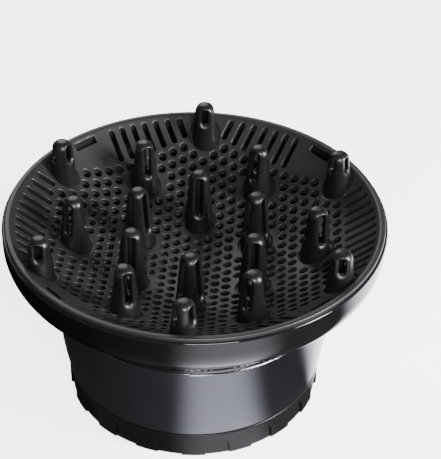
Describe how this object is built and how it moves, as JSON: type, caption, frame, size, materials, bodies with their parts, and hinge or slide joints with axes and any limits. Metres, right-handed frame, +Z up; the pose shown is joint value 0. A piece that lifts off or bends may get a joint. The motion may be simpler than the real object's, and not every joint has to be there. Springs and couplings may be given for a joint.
{
  "type": "hair dryer diffuser",
  "caption": "Universal hair dryer diffuser: perforated finger dish on a flared shell, with a turning lock ring that closes padded iris vanes on the nozzle.",
  "frame": {"origin": "bottom centre of the lock ring, on the surface the diffuser stands on", "axes": "+Z up through the neck and out of the finger dish, +Y towards an outer finger, +X to the right of it"},
  "size_m": [0.162, 0.162, 0.0973],
  "materials": {
    "dish_charcoal": "satin",
    "finger_black": "soft gloss",
    "shell_gloss_black": "piano gloss",
    "sleeve_satin_graphite": "satin metallic paint",
    "ring_black": "satin",
    "inner_black": "matte",
    "vane_black": "satin",
    "pad_rubber": "matte",
    "pin_steel": "ground",
    "screw_steel": "zinc plated"
  },
  "bodies": {
    "housing": {"face_dish": "dish_charcoal", "finger_inner_1": "finger_black", "finger_inner_2": "finger_black", "finger_inner_3": "finger_black", "finger_inner_4": "finger_black", "finger_inner_5": "finger_black", "finger_inner_6": "finger_black", "finger_middle_1": "finger_black", "finger_middle_2": "finger_black", "finger_middle_3": "finger_black", "finger_middle_4": "finger_black", "finger_middle_5": "finger_black", "finger_middle_6": "finger_black", "finger_outer_1": "finger_black", "finger_outer_2": "finger_black", "finger_outer_3": "finger_black", "finger_outer_4": "finger_black", "finger_outer_5": "finger_black", "finger_outer_6": "finger_black", "outer_shell": "shell_gloss_black", "neck_sleeve": "sleeve_satin_graphite", "upper_carrier": "inner_black", "lower_carrier": "inner_black", "pivot_pins": "pin_steel", "upper_carrier_screws": "screw_steel", "lower_carrier_screws": "screw_steel"},
    "lock_ring": {"lock_ring": "ring_black"},
    "vane_1": {"grip_vane_1": "vane_black", "grip_pad_1": "pad_rubber"},
    "vane_2": {"grip_vane_2": "vane_black", "grip_pad_2": "pad_rubber"},
    "vane_3": {"grip_vane_3": "vane_black", "grip_pad_3": "pad_rubber"},
    "vane_4": {"grip_vane_4": "vane_black", "grip_pad_4": "pad_rubber"},
    "vane_5": {"grip_vane_5": "vane_black", "grip_pad_5": "pad_rubber"},
    "vane_6": {"grip_vane_6": "vane_black", "grip_pad_6": "pad_rubber"},
    "vane_7": {"grip_vane_7": "vane_black", "grip_pad_7": "pad_rubber"},
    "vane_8": {"grip_vane_8": "vane_black", "grip_pad_8": "pad_rubber"}
  },
  "joints": [
    {"name": "lock_ring_turn", "type": "hinge", "parent": "housing", "child": "lock_ring", "pos_m": [0, 0, 0.006], "axis": [0, 0, 1], "range_deg": [0, 30]},
    {"name": "vane_1_swing", "type": "hinge", "parent": "housing", "child": "vane_1", "pos_m": [0.044, 0, 0.022], "axis": [0, 0, 1], "range_deg": [0, 27]},
    {"name": "vane_2_swing", "type": "hinge", "parent": "housing", "child": "vane_2", "pos_m": [0.03111, 0.03111, 0.022], "axis": [0, 0, 1], "range_deg": [0, 27]},
    {"name": "vane_3_swing", "type": "hinge", "parent": "housing", "child": "vane_3", "pos_m": [0, 0.044, 0.022], "axis": [0, 0, 1], "range_deg": [0, 27]},
    {"name": "vane_4_swing", "type": "hinge", "parent": "housing", "child": "vane_4", "pos_m": [-0.03111, 0.03111, 0.022], "axis": [0, 0, 1], "range_deg": [0, 27]},
    {"name": "vane_5_swing", "type": "hinge", "parent": "housing", "child": "vane_5", "pos_m": [-0.044, 0, 0.022], "axis": [0, 0, 1], "range_deg": [0, 27]},
    {"name": "vane_6_swing", "type": "hinge", "parent": "housing", "child": "vane_6", "pos_m": [-0.03111, -0.03111, 0.022], "axis": [0, 0, 1], "range_deg": [0, 27]},
    {"name": "vane_7_swing", "type": "hinge", "parent": "housing", "child": "vane_7", "pos_m": [0, -0.044, 0.022], "axis": [0, 0, 1], "range_deg": [0, 27]},
    {"name": "vane_8_swing", "type": "hinge", "parent": "housing", "child": "vane_8", "pos_m": [0.03111, -0.03111, 0.022], "axis": [0, 0, 1], "range_deg": [0, 27]}
  ],
  "couplings": [
    {"joint": "vane_1_swing", "follows": "lock_ring_turn", "ratio": 0.9},
    {"joint": "vane_2_swing", "follows": "lock_ring_turn", "ratio": 0.9},
    {"joint": "vane_3_swing", "follows": "lock_ring_turn", "ratio": 0.9},
    {"joint": "vane_4_swing", "follows": "lock_ring_turn", "ratio": 0.9},
    {"joint": "vane_5_swing", "follows": "lock_ring_turn", "ratio": 0.9},
    {"joint": "vane_6_swing", "follows": "lock_ring_turn", "ratio": 0.9},
    {"joint": "vane_7_swing", "follows": "lock_ring_turn", "ratio": 0.9},
    {"joint": "vane_8_swing", "follows": "lock_ring_turn", "ratio": 0.9}
  ]
}
